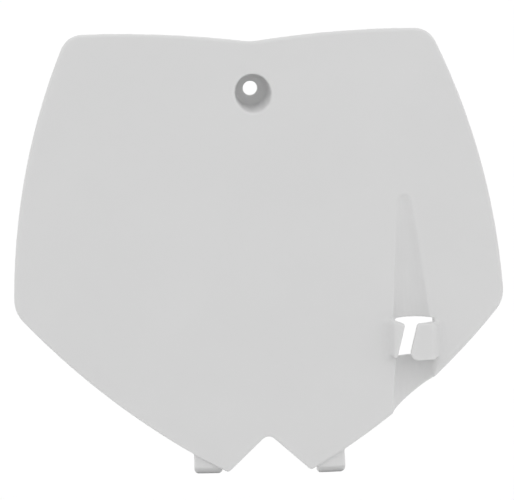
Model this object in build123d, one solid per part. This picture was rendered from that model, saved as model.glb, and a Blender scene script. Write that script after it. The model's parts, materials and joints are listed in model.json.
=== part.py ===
from build123d import *
import math
import os

# Racing number board: one moulded sheet with a sunk bolt pocket, a hose guide and two lugs.
# Millimetres. X is to the viewer's right, the front faces -Y and Z is up.
# The origin is on the bolt axis, on the back face of the pocket floor, where the board seats.
# The mould opens along Y, so every pocket, window and slot is cut along Y.

# Sheet: it leans back, and it is rolled about an upright axis and slightly crowned
SHEET = 2.5
LEAN = 22.0
ACROSS_RADIUS = 590.0
UPRIGHT_RADIUS = 1900.0
MID_Z = -79.4
MID_FRONT_Y = -52.1

# The front rim is rounded in two steps: a bevel, then a smaller one on its outer edge
RIM_BEVEL = 0.9
RIM_OUTER_BEVEL = 0.4

# Blank that the outline is cut from: half its height, and half its angle about the roll axis
BLANK_HALF_HEIGHT = 125.0
BLANK_HALF_ANGLE = 14.0

# Outline seen from the front: one half, as (x, z), and the other half is its mirror image
DIP_Z = 22.9
CREST = (64.0, 27.1)
TOP_CORNER = (86.9, 26.5)
SIDE_CORNER = (116.2, -97.5)
LOBE_TIP = (19.3, -168.35)
NOTCH_Z = -151.7
SIDE_RADIUS = 288.0
LOWER_RADIUS = 354.0
DIP_RADIUS = 20.0
TOP_CORNER_RADIUS = 11.5
SIDE_CORNER_RADIUS = 13.0
LOBE_RADIUS = 1.5
NOTCH_RADIUS = 4.0

# Bolt pocket, round the bolt axis
BOLT_HOLE = 7.0
POCKET_FLOOR = 2.5
POCKET_FLOOR_RADIUS = 7.6
POCKET_DRAFT = 4.0
POCKET_CORNER = 1.5
POCKET_LIP = 0.7

# Hose guide: a trough in two tapering lengths that meet at a window with a collar behind it
WINDOW_MIDDLE = (71.75, -111.8)
WINDOW = (18.7, 17.2)
COLLAR_DEPTH = 6.5
UPPER_START = (69.9, -50.6)
UPPER_START_RADIUS = 6.0
UPPER_START_DEPTH = 1.2
UPPER_END_X = 70.5
UPPER_END_RADIUS = 11.8
UPPER_END_DEPTH = 4.5
LOWER_START_X = 71.2
LOWER_START_RADIUS = 10.4
LOWER_START_DEPTH = 5.9
LOWER_END = (70.0, -149.4)
LOWER_END_RADIUS = 11.7
LOWER_END_DEPTH = 9.0

# Clip in front of the window: an arch across it, split by a slanted slot into a left and a right arm.
# Places across it and the corners of the arms are (left, right)
CLIP_MIDDLE = (71.6, -111.7)
ARM_HEIGHT = 6.3
ARM_SHEET = 2.4
ARM_TOP = 7.2
ARM_BOTTOM = (-7.6, -9.0)
ARM_CROWN = (-11.2, 9.2)
ARM_FOOT = (-14.4, 12.4)
ARM_CROWN_SLANT = 7.5
ARM_SHOULDER = 4.0
ARM_FOOT_BLEND = 3.0
ARM_FOOT_SINK = 0.6
ARM_TOE = 3.0
ARM_TOE_CORNER = 5.5
ARCH_SPRING = 0.7
SLOT_X = 67.1
SLOT_WIDTH = 5.6
SLOT_SLANT = 17.0
SLOT_TOP_CORNERS = (0.7, 1.0)
SLOT_FOOT_CORNERS = (1.0, 3.4)

# Lugs at the foot, one behind each lobe: open-backed boxes with a lead-in on the lower front edge.
# The places across and the reach below the root are (left, right)
LUG_PLACES = (-28.4, 29.1)
LUG_DOWN = (10.9, 12.0)
LUG_WIDTH = 13.3
LUG_ROOT_Z = -157.4
LUG_SET_BACK = 1.8
LUG_DEPTH = 4.4
LUG_UP = 9.0
LUG_LEAD_IN = 2.5
LUG_WALL = 2.2
LUG_CORNER = 2.0

# Length that reaches past the whole board, the tolerance for finding points and faces, and how far
# the normal of a face has to lean to the front for the face to count as a front one
FAR = 60.0
NEAR = 0.01
FORWARD = 0.1


def board_band(front, back):
    """Rolled, crowned and leaning layer between two depths behind the front face, before trimming."""

    def section_point(depth, up):
        radius = UPRIGHT_RADIUS - depth
        return (UPRIGHT_RADIUS - math.sqrt(radius**2 - up**2), up)

    def section_arc(depth, start, end):
        return ThreePointArc(*(section_point(depth, up) for up in (start, 0, end)))

    front_arc = section_arc(front, -BLANK_HALF_HEIGHT, BLANK_HALF_HEIGHT)
    back_arc = section_arc(back, BLANK_HALF_HEIGHT, -BLANK_HALF_HEIGHT)
    top_line = Line(front_arc @ 1, back_arc @ 0)
    foot_line = Line(back_arc @ 1, front_arc @ 0)
    section = Plane.YZ * make_face([front_arc, top_line, back_arc, foot_line])
    roll_axis = Axis((0, ACROSS_RADIUS, 0), (0, 0, 1))
    band = revolve(section.rotate(roll_axis, -BLANK_HALF_ANGLE), roll_axis, 2 * BLANK_HALF_ANGLE)
    return Pos(0, MID_FRONT_Y, MID_Z) * Rot(X=-LEAN) * band


def front_plane(band, place):
    """Plane on the front face at a place of the front view: X across, Y up the slope, Z outwards."""
    x, z = place
    hits = band.find_intersection_points(Axis((x, 0, z), (0, 1, 0)))
    point, normal = min(hits, key=lambda hit: hit[0].Y)
    return Plane(point, x_dir=Vector(0, 0, 1).cross(normal), z_dir=normal)


def along_pull(face):
    """Front-view face made a prism along the mould's opening direction."""
    return extrude(Plane.XZ * face, 2 * FAR, both=True)


def board_outline():
    """Closed outline face in the front view."""
    crest_x, crest_z = CREST
    top_middle = (crest_x / 2, crest_z - (crest_z - DIP_Z) / 4)
    half = [
        ThreePointArc((0, DIP_Z), top_middle, TOP_CORNER),
        RadiusArc(TOP_CORNER, SIDE_CORNER, SIDE_RADIUS),
        RadiusArc(SIDE_CORNER, LOBE_TIP, LOWER_RADIUS),
        Line(LOBE_TIP, (0, NOTCH_Z)),
    ]
    outline = make_face(half + [mirror(edge, Plane.YZ) for edge in half])
    rounds = [
        ((0, DIP_Z), DIP_RADIUS),
        (TOP_CORNER, TOP_CORNER_RADIUS),
        (SIDE_CORNER, SIDE_CORNER_RADIUS),
        (LOBE_TIP, LOBE_RADIUS),
        ((0, NOTCH_Z), NOTCH_RADIUS),
    ]
    for (x, z), radius in rounds:
        corners = [v for v in outline.vertices() if abs(abs(v.X) - x) < NEAR and abs(v.Y - z) < NEAR]
        outline = fillet(corners, radius)
    return outline


def pocket_cone(wall):
    """Drafted round pocket on the bolt axis, grown outwards by wall, with a bevelled floor corner."""
    length = FAR / 2
    radius = POCKET_FLOOR_RADIUS + wall
    mouth_radius = radius + length * math.tan(math.radians(POCKET_DRAFT))
    cone = Cone(radius, mouth_radius, length, align=(Align.CENTER, Align.CENTER, Align.MIN))
    cone = Plane.XZ.offset(POCKET_FLOOR - wall) * cone
    return chamfer(cone.edges().sort_by(Axis.Y)[-1], POCKET_CORNER + wall / 2)


def trough_axis_point(band, place, radius, depth):
    """Centre of a round trough of that radius whose floor lies that deep behind the front face."""
    plane = front_plane(band, place)
    return plane.origin + plane.z_dir * (radius - depth)


def trough_length(window_point, window_radius, far_point, far_radius):
    """One tapering length of the trough, from its far end to a little way into the window."""
    run = far_point - window_point
    into_window = WINDOW[1] / 2
    taper = (far_radius - window_radius) / run.length
    start = window_point - run.normalized() * into_window
    start_radius = window_radius - taper * into_window
    length = run.length + into_window
    cone = Cone(start_radius, far_radius, length, align=(Align.CENTER, Align.CENTER, Align.MIN))
    return Plane(start, z_dir=run) * cone


def guide_trough(band, wall):
    """Upper and lower lengths of the hose trough, grown outwards by wall, the upper with a round nose."""
    window_z = WINDOW_MIDDLE[1]
    top_z = window_z + WINDOW[1] / 2
    foot_z = window_z - WINDOW[1] / 2
    upper_start = trough_axis_point(band, UPPER_START, UPPER_START_RADIUS, UPPER_START_DEPTH)
    upper_end = trough_axis_point(band, (UPPER_END_X, top_z), UPPER_END_RADIUS, UPPER_END_DEPTH)
    upper = trough_length(upper_end, UPPER_END_RADIUS + wall, upper_start, UPPER_START_RADIUS + wall)
    upper += Pos(upper_start) * Sphere(UPPER_START_RADIUS + wall)
    lower_start = trough_axis_point(band, (LOWER_START_X, foot_z), LOWER_START_RADIUS, LOWER_START_DEPTH)
    lower_end = trough_axis_point(band, LOWER_END, LOWER_END_RADIUS, LOWER_END_DEPTH)
    lower = trough_length(lower_start, LOWER_START_RADIUS + wall, lower_end, LOWER_END_RADIUS + wall)
    upper = split(upper, Plane.XY.offset(window_z), keep=Keep.TOP)
    lower = split(lower, Plane.XY.offset(window_z), keep=Keep.BOTTOM)
    return upper + lower


def guide_collar():
    """Stiffening wall round the window, behind the sheet."""
    width, height = WINDOW
    face = Pos(*WINDOW_MIDDLE) * Rectangle(width + 2 * SHEET, height + 2 * SHEET)
    return along_pull(face) & board_band(SHEET / 2, COLLAR_DEPTH)


def guide_core(band, height):
    """Space behind the clip, as wide as the window and closed in front by the inside of the arch."""
    plane = front_plane(band, CLIP_MIDDLE)
    crown = ARM_HEIGHT - ARM_SHEET
    rise = crown - ARCH_SPRING
    half_width = WINDOW[0] / 2
    radius = (half_width**2 + rise**2) / (2 * rise)
    arch_axis = plane * Pos(0, 0, crown - radius)
    inside = arch_axis * Rot(X=90) * Cylinder(radius, FAR)
    inside += arch_axis * Box(FAR, FAR, FAR, align=(Align.CENTER, Align.CENTER, Align.MAX))
    return along_pull(Pos(*WINDOW_MIDDLE) * Rectangle(WINDOW[0], height)) & inside


def arch_section(crown_shift):
    """Section across the arch, with soft shoulders and feet that run out into the sheet.

    Both shoulders are moved across by crown_shift.
    """
    left_foot, right_foot = ARM_FOOT
    left_crown, right_crown = (place + crown_shift for place in ARM_CROWN)
    section = make_face(Polyline(
        (left_foot - ARM_TOE, -SHEET / 2),
        (left_foot - ARM_TOE, -ARM_FOOT_SINK),
        (left_foot, -ARM_FOOT_SINK),
        (left_crown, ARM_HEIGHT),
        (right_crown, ARM_HEIGHT),
        (right_foot, -ARM_FOOT_SINK),
        (right_foot + ARM_TOE, -ARM_FOOT_SINK),
        (right_foot + ARM_TOE, -SHEET / 2),
        close=True,
    ))
    section = fillet(section.vertices().group_by(Axis.Y)[-1], ARM_SHOULDER)
    feet = [v for v in section.vertices() if min(abs(v.X - left_foot), abs(v.X - right_foot)) < NEAR]
    return fillet(feet, ARM_FOOT_BLEND)


def clip_plan():
    """Front view of the two arms, one on each side of the slanted slot."""
    clip_x, clip_z = CLIP_MIDDLE
    slant = math.tan(math.radians(SLOT_SLANT))
    half_slot = SLOT_WIDTH / 2 / math.cos(math.radians(SLOT_SLANT))
    plan = Sketch()
    for side, place in ((-1, 0), (1, 1)):
        far_x = clip_x + ARM_FOOT[place] + side * ARM_TOE
        slot_x = SLOT_X + side * half_slot
        top = (slot_x + ARM_TOP * slant, clip_z + ARM_TOP)
        foot = (slot_x + ARM_BOTTOM[place] * slant, clip_z + ARM_BOTTOM[place])
        far_top = (far_x, top[1] + max(0, top[0] - far_x) * slant)
        far_foot = (far_x, foot[1])
        arm = make_face(Polyline(top, far_top, far_foot, foot, close=True))
        rounds = (
            (top, SLOT_TOP_CORNERS[place]),
            (far_top, ARM_TOE_CORNER),
            (far_foot, ARM_TOE_CORNER),
            (foot, SLOT_FOOT_CORNERS[place]),
        )
        for corner, radius in rounds:
            arm = fillet(arm.vertices().sort_by_distance(corner)[0], radius)
        plan += arm
    return plan


def guide_clip(band):
    """Two arms of the clip: the arch over the window, split by the slanted slot."""
    plane = front_plane(band, CLIP_MIDDLE)
    down = Plane(plane.origin, x_dir=plane.x_dir, z_dir=-plane.y_dir)
    reach = 2 * ARM_TOP
    shift = reach * math.tan(math.radians(ARM_CROWN_SLANT))
    sections = [down.offset(end * reach) * arch_section(-end * shift) for end in (-1, 1)]
    arch = loft(sections, ruled=True)
    return (arch & along_pull(clip_plan())) - guide_core(band, 2 * reach)


def lug(band, place, down):
    """Open-backed lug behind one lobe, at that place across and reaching that far below its root."""
    plane = front_plane(band, (place, LUG_ROOT_Z))
    side_plane = Plane(plane.origin, x_dir=-plane.z_dir, z_dir=plane.x_dir)
    front = LUG_SET_BACK
    back = front + LUG_DEPTH
    profile = make_face(Polyline(
        (front, LUG_UP),
        (front, LUG_LEAD_IN - down),
        (front + LUG_LEAD_IN, -down),
        (back, -down),
        (back, -down / 2),
        (SHEET, LUG_UP),
        close=True,
    ))
    hollow = make_face(Polyline(
        (front + LUG_WALL, LUG_UP),
        (front + LUG_WALL, LUG_LEAD_IN - down),
        (front + LUG_LEAD_IN, LUG_WALL - down),
        (2 * back, LUG_WALL - down),
        (2 * back, LUG_UP),
        close=True,
    ))
    front_face = Rectangle(LUG_WIDTH, 2 * down)
    front_face = fillet(front_face.vertices().group_by(Axis.Y)[0], LUG_CORNER)
    block = extrude(side_plane * profile, LUG_WIDTH / 2, both=True)
    block = block & extrude(plane * front_face, FAR, both=True)
    return block - extrude(side_plane * hollow, LUG_WIDTH / 2 - LUG_WALL, both=True)


def looks_forward(face):
    """Whether the middle of a face looks to the front."""
    return face.normal_at(face.position_at(0.5, 0.5)).Y < -FORWARD


def front_rim(board, outline):
    """Edges between the trimmed edge of the sheet and the faces that look forward."""

    def is_trimmed(face):
        middle = face.position_at(0.5, 0.5)
        return outline.wire().distance_to((middle.X, middle.Z, 0)) < NEAR

    edge_walls = board.faces().filter_by(is_trimmed)
    return edge_walls.edges() & board.faces().filter_by(looks_forward).edges()


def pocket_mouth(board):
    """Edge where the bolt pocket opens into the front face."""
    skin = board.faces().filter_by(GeomType.REVOLUTION).filter_by(looks_forward)
    holes = skin.sort_by(SortBy.AREA)[-1].inner_wires()
    return holes.sort_by_distance((0, 0, 0))[0].edges()


def number_board():
    """The whole moulding."""
    band = board_band(0, SHEET)
    outline = board_outline()
    trimmer = along_pull(outline)
    board = band & trimmer
    board = chamfer(front_rim(board, outline), RIM_BEVEL)
    board = chamfer(front_rim(board, outline), RIM_OUTER_BEVEL)
    walls = (guide_trough(band, SHEET) + pocket_cone(SHEET)) & board_band(SHEET / 2, FAR)
    board += (walls + guide_collar()) & trimmer
    board -= guide_trough(band, 0)
    board -= pocket_cone(0)
    board -= Plane.XZ * Cylinder(BOLT_HOLE / 2, FAR)
    board -= guide_core(band, WINDOW[1])
    board = chamfer(pocket_mouth(board), POCKET_LIP)
    board += guide_clip(band)
    for place, down in zip(LUG_PLACES, LUG_DOWN):
        board += lug(band, place, down)
    return board


board = number_board()
os.makedirs("parts", exist_ok=True)
export_step(board, "parts/number_board.step")
size = board.bounding_box().size
print(f"number_board: {board.volume:.0f} mm3, {size.X:.1f} x {size.Y:.1f} x {size.Z:.1f} mm")
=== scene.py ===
# %% [markdown]
# This lesson dresses one racing number board: a single white moulding that is bolted to the front of an
# off-road motorbike. The shape comes from the imported solid, so the first step loads it. Everything after
# that is finish: edges, surface, light and camera. The box of the solid is kept.

# %% Load the imported board
import json
import math

import bmesh
import bpy
from mathutils import Matrix, Vector


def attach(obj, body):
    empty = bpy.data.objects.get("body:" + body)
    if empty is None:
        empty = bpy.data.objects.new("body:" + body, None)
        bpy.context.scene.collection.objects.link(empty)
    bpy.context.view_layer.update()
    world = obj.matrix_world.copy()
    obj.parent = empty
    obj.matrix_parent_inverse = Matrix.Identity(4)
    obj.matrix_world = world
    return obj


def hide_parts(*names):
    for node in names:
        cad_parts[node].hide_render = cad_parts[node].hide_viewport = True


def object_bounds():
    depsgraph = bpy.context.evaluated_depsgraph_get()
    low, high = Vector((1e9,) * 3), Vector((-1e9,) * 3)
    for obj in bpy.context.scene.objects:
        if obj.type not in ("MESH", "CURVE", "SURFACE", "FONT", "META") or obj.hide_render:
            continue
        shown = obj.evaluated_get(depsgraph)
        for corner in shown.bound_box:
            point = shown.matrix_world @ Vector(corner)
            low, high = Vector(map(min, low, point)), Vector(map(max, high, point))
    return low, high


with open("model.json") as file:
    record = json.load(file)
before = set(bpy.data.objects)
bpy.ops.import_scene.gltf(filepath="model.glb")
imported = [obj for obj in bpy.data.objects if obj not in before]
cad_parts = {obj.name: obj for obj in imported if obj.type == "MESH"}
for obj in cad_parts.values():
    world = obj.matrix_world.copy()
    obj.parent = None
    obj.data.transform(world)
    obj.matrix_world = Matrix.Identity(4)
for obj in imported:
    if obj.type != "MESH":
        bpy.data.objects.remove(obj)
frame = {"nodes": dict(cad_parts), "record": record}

scene = bpy.context.scene
scene.view_settings.view_transform = "Standard"
node = frame["nodes"]["number_board"]
solid_low, solid_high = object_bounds()
print("solid box in mm", [round(v * 1000, 1) for v in (*solid_low, *solid_high)])

# %% [markdown]
# The photograph looks at the board almost square on, a little from the left and from above. A camera could
# be placed by eye, but here its turn, rise and roll are named angles. They give the camera's own three
# directions: right, up and back.

# %% Directions of the camera
CAMERA_TURN = math.radians(-5.53)
CAMERA_RISE = math.radians(10.88)
CAMERA_ROLL = math.radians(-0.46)

back = Vector((
    math.sin(CAMERA_TURN) * math.cos(CAMERA_RISE),
    -math.cos(CAMERA_TURN) * math.cos(CAMERA_RISE),
    math.sin(CAMERA_RISE),
))
level_right = Vector((math.cos(CAMERA_TURN), math.sin(CAMERA_TURN), 0.0))
level_up = back.cross(level_right)
right = math.cos(CAMERA_ROLL) * level_right + math.sin(CAMERA_ROLL) * level_up
up = back.cross(right)
print("camera's back direction", [round(v, 3) for v in back])

# %% [markdown]
# A long lens, two metres away, keeps the board's sides nearly parallel. A short lens close by would fill the
# picture too, but it would make the near edge look too large. The lens is given in pixels of the picture and
# turned into millimetres. The camera aims a little beside its stand point, to frame the board as the
# photograph does.

# %% Long lens
PICTURE_WIDTH_PX = 514
FOCAL_PX = 4163.2
SENSOR_WIDTH_MM = 36.0
CAMERA_DISTANCE = 2.0
STAND_POINT = Vector((0.0, -0.00712, -0.080))
AIM_RIGHT = 0.00223
AIM_UP = 0.00214

place = STAND_POINT + CAMERA_DISTANCE * back
aim = STAND_POINT + AIM_RIGHT * right + AIM_UP * up
look_back = (place - aim).normalized()
look_right = up.cross(look_back).normalized()
look_up = look_back.cross(look_right)
turned = Matrix((look_right, look_up, look_back)).transposed().to_4x4()

lens = bpy.data.cameras.new("long_lens")
lens.sensor_width = SENSOR_WIDTH_MM
lens.lens = SENSOR_WIDTH_MM * FOCAL_PX / PICTURE_WIDTH_PX
camera = bpy.data.objects.new("photo_camera", lens)
camera.matrix_world = Matrix.Translation(place) @ turned
scene.collection.objects.link(camera)
scene.camera = camera
print(f"lens {lens.lens:.1f} mm at {CAMERA_DISTANCE} m")

# %% [markdown]
# White parts are photographed in a light tent: soft light from all round, and a ground that the picture
# shows as pure white. One strength of light seldom suits both the part and the ground, so the rays are told
# apart. Those that come straight from the camera, or from a glossy or clear surface, are shown one shader.
# All the others carry the light, and are shown another.

# %% Rays told apart
RAYS_THAT_SEE_WHITE = ("Is Camera Ray", "Is Glossy Ray", "Is Transmission Ray")


def sees_white(tree):
    """Output that is 1 for the rays that see white, and 0 for all the others."""
    light_path = tree.nodes.new("ShaderNodeLightPath")
    reached = light_path.outputs[RAYS_THAT_SEE_WHITE[0]]
    for ray in RAYS_THAT_SEE_WHITE[1:]:
        either = tree.nodes.new("ShaderNodeMath")
        either.operation = "MAXIMUM"
        tree.links.new(reached, either.inputs[0])
        tree.links.new(light_path.outputs[ray], either.inputs[1])
        reached = either.outputs[0]
    return reached


def split_by_ray(tree, for_light, for_camera, output_kind):
    """Show one shader to the light, and another to the rays that see white."""
    split = tree.nodes.new("ShaderNodeMixShader")
    output = tree.nodes.new(output_kind)
    tree.links.new(sees_white(tree), split.inputs["Fac"])
    tree.links.new(for_light.outputs[0], split.inputs[1])
    tree.links.new(for_camera.outputs[0], split.inputs[2])
    tree.links.new(split.outputs[0], output.inputs["Surface"])


print("rays that see white", RAYS_THAT_SEE_WHITE)

# %% [markdown]
# The world is the tent. Area lamps on every side could light the board too, but they would leave gaps, and a
# world is even. It lights the board a little more strongly than plain white. The camera sees it as plain
# white.

# %% Soft light all round
TENT_STRENGTH = 1.05
GROUND_STRENGTH = 1.0
WHITE = (1.0, 1.0, 1.0, 1.0)


def tent_white(tree, strength):
    """White background of the given strength."""
    background = tree.nodes.new("ShaderNodeBackground")
    background.inputs["Color"].default_value = WHITE
    background.inputs["Strength"].default_value = strength
    return background


world = bpy.data.worlds.new("light_tent")
world.use_nodes = True
scene.world = world
tent = world.node_tree
tent.nodes.clear()
tent_light = tent_white(tent, TENT_STRENGTH)
tent_ground = tent_white(tent, GROUND_STRENGTH)
split_by_ray(tent, tent_light, tent_ground, "ShaderNodeOutputWorld")
print("tent strength", TENT_STRENGTH)

# %% [markdown]
# A tent is never quite even: the lamp outside it makes one panel a little brighter. A large, weak area lamp
# at the front right stands for that panel. A small lamp would draw hard shadows beside the hose clip, and
# this one is too wide for that.

# %% Brighter panel of the tent
PANEL_PLACE = Vector((0.9, -1.6, 0.0))
PANEL_SIZE = 1.4
PANEL_WATTS = 0.6

panel_light = bpy.data.lights.new("tent_panel", "AREA")
panel_light.size = PANEL_SIZE
panel_light.energy = PANEL_WATTS
panel = bpy.data.objects.new("tent_panel", panel_light)
facing = (STAND_POINT - PANEL_PLACE).to_track_quat("-Z", "Y")
panel.matrix_world = Matrix.Translation(PANEL_PLACE) @ facing.to_matrix().to_4x4()
scene.collection.objects.link(panel)
print("panel watts", PANEL_WATTS)

# %% [markdown]
# The board is held by its bolt, so the floor lies about a hand's width below its lugs, and only the edge of
# a faint shadow comes into the picture. A plane would do, but a wide disc ends at the same distance on every
# side, so no corner shows from any angle.

# %% Pale floor
FLOOR_DROP = 0.11
FLOOR_RADIUS = 12.0
FLOOR_SIDES = 96

floor_height = solid_low.z - FLOOR_DROP
floor_mesh = bpy.data.meshes.new("floor")
bm = bmesh.new()
bmesh.ops.create_circle(bm, cap_ends=True, segments=FLOOR_SIDES, radius=FLOOR_RADIUS)
bmesh.ops.translate(bm, verts=bm.verts, vec=(0.0, 0.0, floor_height))
bm.to_mesh(floor_mesh)
bm.free()
floor = bpy.data.objects.new("floor", floor_mesh)
scene.collection.objects.link(floor)
print("floor at", round(floor_height, 3))

# %% [markdown]
# Matt paint alone leaves the floor a little grey, where the photograph has a white ground. More lamps would
# whiten it, but they would whiten the board too. So a part of the floor's brightness is added only for the
# rays that see white. The floor turns white and keeps its faint shadow.

# %% Floor paint
FLOOR_GREY = 0.80
FLOOR_LIFT = 0.18


def matt_paint(name, grey):
    """Material whose tree holds one matt grey shader, and that shader."""
    material = bpy.data.materials.new(name)
    material.use_nodes = True
    material.node_tree.nodes.clear()
    matt = material.node_tree.nodes.new("ShaderNodeBsdfDiffuse")
    matt.inputs["Color"].default_value = (grey, grey, grey, 1.0)
    return material, matt


floor_paint, pale = matt_paint("pale_floor", FLOOR_GREY)
paint = floor_paint.node_tree
lift = paint.nodes.new("ShaderNodeEmission")
lift.inputs["Color"].default_value = WHITE
lift_level = paint.nodes.new("ShaderNodeMath")
lift_level.operation = "MULTIPLY"
lift_level.inputs[1].default_value = FLOOR_LIFT
both = paint.nodes.new("ShaderNodeAddShader")
paint_out = paint.nodes.new("ShaderNodeOutputMaterial")
paint.links.new(sees_white(paint), lift_level.inputs[0])
paint.links.new(lift_level.outputs[0], lift.inputs["Strength"])
paint.links.new(pale.outputs[0], both.inputs[0])
paint.links.new(lift.outputs[0], both.inputs[1])
paint.links.new(both.outputs[0], paint_out.inputs["Surface"])
floor_mesh.materials.append(floor_paint)
print("floor grey", FLOOR_GREY, "lifted by", FLOOR_LIFT)

# %% [markdown]
# The undersides of the two lugs are in shade, as if the board stood on them. A floor that close would put a
# grey patch on the white ground. A photographer would slip a small dark card under each lug, so there is one
# here, just below the place that the record gives for the lug. It keeps the floor's light off the lug.

# %% Dark card under each lug
CARD_DROP = 0.0010
CARD_BACK = 0.0006
CARD_WIDTH = 0.0135
CARD_DEPTH = 0.0090

mounts = {mount["name"]: mount for mount in frame["record"]["mounts"]}
card_mesh = bpy.data.meshes.new("lug_cards")
bm = bmesh.new()
for lug in ("left_lug", "right_lug"):
    under = Vector(mounts[lug]["pos_m"]) + Vector((0.0, CARD_BACK, -CARD_DROP))
    shape = Matrix.Translation(under) @ Matrix.Diagonal((CARD_WIDTH / 2, CARD_DEPTH / 2, 1.0, 1.0))
    bmesh.ops.create_grid(bm, x_segments=1, y_segments=1, size=1.0, matrix=shape)
    print("card under", lug, "at", [round(v, 4) for v in under])
bm.to_mesh(card_mesh)
bm.free()
cards = bpy.data.objects.new("lug_cards", card_mesh)
scene.collection.objects.link(cards)

# %% [markdown]
# A card must not show in the picture. Hiding it would take its shade away as well. So its paint is dark for
# the light and clear for the camera.

# %% Card paint
CARD_GREY = 0.02

card_paint, dark = matt_paint("dark_card", CARD_GREY)
card_tree = card_paint.node_tree
clear = card_tree.nodes.new("ShaderNodeBsdfTransparent")
split_by_ray(card_tree, dark, clear, "ShaderNodeOutputMaterial")
card_mesh.materials.append(card_paint)
print("card grey", CARD_GREY)

# %% [markdown]
# A board comes out of its mould with a small round on every edge: the lips of the grooves, the arms of the
# hose clip, the mouth of the bolt pocket. Most edges of the solid are crisp. A bevel would round them, but
# the solid's long thin triangles leave a bevel no room. So a copy is merged, rebuilt from even little
# squares, and smoothed a few times. Smoothing draws in only what is sharply bent, so every edge gets a round
# of about half a millimetre and the broad sheet stays where it is.

# %% Soft-edged copy of the board
MERGE_DISTANCE = 0.000001
SQUARE_SIZE = 0.0005
SMOOTH_ROUNDS = 3

moulding = node.data.copy()
bm = bmesh.new()
bm.from_mesh(moulding)
bmesh.ops.remove_doubles(bm, verts=bm.verts, dist=MERGE_DISTANCE)
bm.to_mesh(moulding)
bm.free()
board = bpy.data.objects.new("moulded_board", moulding)
scene.collection.objects.link(board)
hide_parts("number_board")
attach(board, "root")


def apply_modifiers(piece):
    """Give a piece the mesh that its modifiers make, and take them off."""
    made = piece.evaluated_get(bpy.context.evaluated_depsgraph_get())
    piece.data = bpy.data.meshes.new_from_object(made)
    piece.modifiers.clear()


squares = board.modifiers.new("even_squares", "REMESH")
squares.mode = "VOXEL"
squares.voxel_size = SQUARE_SIZE
rounding = board.modifiers.new("soft_edges", "SMOOTH")
rounding.iterations = SMOOTH_ROUNDS
apply_modifiers(board)
print("squares on the board", len(board.data.polygons))

# %% [markdown]
# On the real board the arms of the hose clip don't stand on the sheet like blocks: their feet run out into
# it in a wide soft blend, and so does the lip of the groove below the right arm. A sculptor would rub these
# spots with a smooth brush. Here each spot has its place to the right of the clip's middle and above it, and
# its reach across and up. A ray from the front finds it on the board.

# %% Soft spots round the hose clip
SOFT_SPOTS = {
    "left foot": (-0.0116, -0.0008, 0.0052, 0.0115),
    "right foot": (0.0197, -0.0008, 0.0075, 0.0115),
    "lip below the right arm": (0.0151, -0.0138, 0.0030, 0.0040),
}
SPOT_SQUARENESS = 4
SKIN_DEPTH = 0.0014
RAY_START = -1.0
INTO_BOARD = (0.0, 1.0, 0.0)

clip_x, _, clip_z = mounts["hose_clip"]["pos_m"]
bm = bmesh.new()
bm.from_mesh(board.data)
rubbed = {}
for spot, (beside, above, reach_across, reach_up) in SOFT_SPOTS.items():
    start = (clip_x + beside, RAY_START, clip_z + above)
    middle, outwards = board.ray_cast(start, INTO_BOARD)[1:3]
    before = len(rubbed)
    for vertex in bm.verts:
        away = vertex.co - middle
        across = (away.x / reach_across) ** SPOT_SQUARENESS
        nearness = 1.0 - across - (away.z / reach_up) ** SPOT_SQUARENESS
        if nearness > 0.0 and away.dot(outwards) > -SKIN_DEPTH:
            rubbed[vertex] = max(nearness, rubbed.get(vertex, 0.0))
    print(spot, "points", len(rubbed) - before)

# %% [markdown]
# The points of these spots are now smoothed for many rounds. Every round could take them all, but then the
# blend would stop at a border. So each round leaves out a few more of the points that lie farthest out.

# %% Soft feet of the hose clip
SOFT_ROUNDS = 36
SOFT_SHARE = 0.8
LAST_NEARNESS = 0.5

for count in range(SOFT_ROUNDS):
    least = LAST_NEARNESS * count / SOFT_ROUNDS
    chosen = [vertex for vertex, nearness in rubbed.items() if nearness > least]
    bmesh.ops.smooth_vert(
        bm, verts=chosen, factor=SOFT_SHARE, use_axis_x=True, use_axis_y=True, use_axis_z=True
    )
bm.to_mesh(board.data)
bm.free()
print("points in the last round", len(chosen))

# %% [markdown]
# The even squares are far more than a nearly flat sheet needs. Larger squares would lose the edges, so the
# Decimate modifier thins them afterwards: it merges faces where the surface hardly bends and keeps them
# along the edges.

# %% Fewer faces
SHARE_KEPT = 0.2

thinning = board.modifiers.new("fewer_faces", "DECIMATE")
thinning.ratio = SHARE_KEPT
apply_modifiers(board)
board.data.shade_smooth()
board.data.calc_loop_triangles()
print("triangles on the board", len(board.data.loop_triangles))

# %% [markdown]
# White polypropylene straight from the mould is matt to satin, and never quite even: its tone, its gloss and
# its fine grain all vary a little. A painted picture could hold that, but noise on Object coordinates needs
# no picture and has no seams. Two helpers make such a noise and spread it over a range of values.

# %% Noise for the plastic
NOISE_LOW = 0.3
NOISE_HIGH = 0.7

plastic = bpy.data.materials.new("white_moulded_plastic")
plastic.use_nodes = True
nodes = plastic.node_tree.nodes
links = plastic.node_tree.links
coordinates = nodes.new("ShaderNodeTexCoord")


def noise(scale, detail):
    """Noise on Object coordinates, with its scale in features for each metre."""
    texture = nodes.new("ShaderNodeTexNoise")
    texture.inputs["Scale"].default_value = scale
    texture.inputs["Detail"].default_value = detail
    links.new(coordinates.outputs["Object"], texture.inputs["Vector"])
    return texture.outputs["Fac"]


def between(factor, low, high):
    """Noise factor spread over the range from low to high."""
    spread = nodes.new("ShaderNodeMapRange")
    spread.inputs["From Min"].default_value = NOISE_LOW
    spread.inputs["From Max"].default_value = NOISE_HIGH
    spread.inputs["To Min"].default_value = low
    spread.inputs["To Max"].default_value = high
    links.new(factor, spread.inputs["Value"])
    return spread.outputs["Result"]


print("material", plastic.name)

# %% [markdown]
# Broad patches vary the tone, smaller ones the gloss, and the grain is a bump finer than a millimetre. One
# noise could drive all three, but then every pale patch would be a glossy one too.

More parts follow.
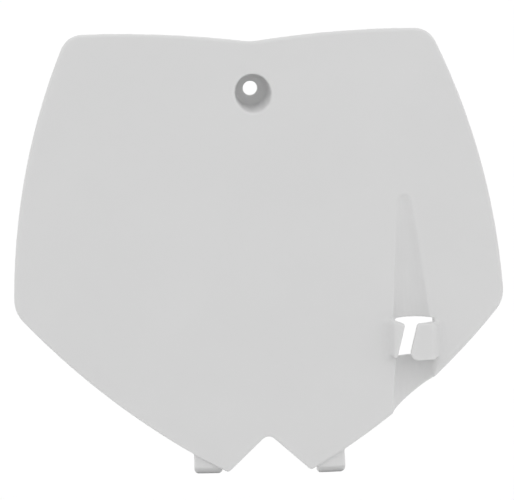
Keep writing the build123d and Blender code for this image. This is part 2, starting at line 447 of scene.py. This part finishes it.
# %% Uneven tone, gloss and grain
PLASTIC_GREY = 0.655
TONE_SPREAD = 0.008
TONE_SCALE = 22.0
TONE_DETAIL = 3.0
ROUGHNESS_LOW = 0.42
ROUGHNESS_HIGH = 0.52
GLOSS_SCALE = 60.0
GLOSS_DETAIL = 4.0
GRAIN_SCALE = 1800.0
GRAIN_DETAIL = 2.0
GRAIN_HEIGHT = 0.0001
GRAIN_STRENGTH = 0.15

shade = nodes["Principled BSDF"]
darker = PLASTIC_GREY * (1.0 - TONE_SPREAD)
lighter = PLASTIC_GREY * (1.0 + TONE_SPREAD)
level = between(noise(TONE_SCALE, TONE_DETAIL), darker, lighter)
tone = nodes.new("ShaderNodeCombineColor")
for channel in ("Red", "Green", "Blue"):
    links.new(level, tone.inputs[channel])
links.new(tone.outputs["Color"], shade.inputs["Base Color"])
gloss = between(noise(GLOSS_SCALE, GLOSS_DETAIL), ROUGHNESS_LOW, ROUGHNESS_HIGH)
links.new(gloss, shade.inputs["Roughness"])
grain = nodes.new("ShaderNodeBump")
grain.inputs["Strength"].default_value = GRAIN_STRENGTH
grain.inputs["Distance"].default_value = GRAIN_HEIGHT
links.new(noise(GRAIN_SCALE, GRAIN_DETAIL), grain.inputs["Height"])
links.new(grain.outputs["Normal"], shade.inputs["Normal"])
print("plastic nodes", len(nodes))

# %% [markdown]
# The plastic also lets a little light through: some of what falls on it is scattered under the surface and
# comes out a few millimetres away. That softens the shade in the corners of the clip and the pocket. More
# lamps would lighten those corners too, but they would lighten the whole board.

# %% White moulded plastic
SHINE = 0.3
MILKY_SHARE = 0.35
MILKY_REACH = 0.0025
SAME_FOR_EACH_COLOUR = (1.0, 1.0, 1.0)

shade.inputs["Specular IOR Level"].default_value = SHINE
shade.inputs["Subsurface Weight"].default_value = MILKY_SHARE
shade.inputs["Subsurface Radius"].default_value = SAME_FOR_EACH_COLOUR
shade.inputs["Subsurface Scale"].default_value = MILKY_REACH
board.data.materials.clear()
board.data.materials.append(plastic)
print("board is made of", [material.name for material in board.data.materials])
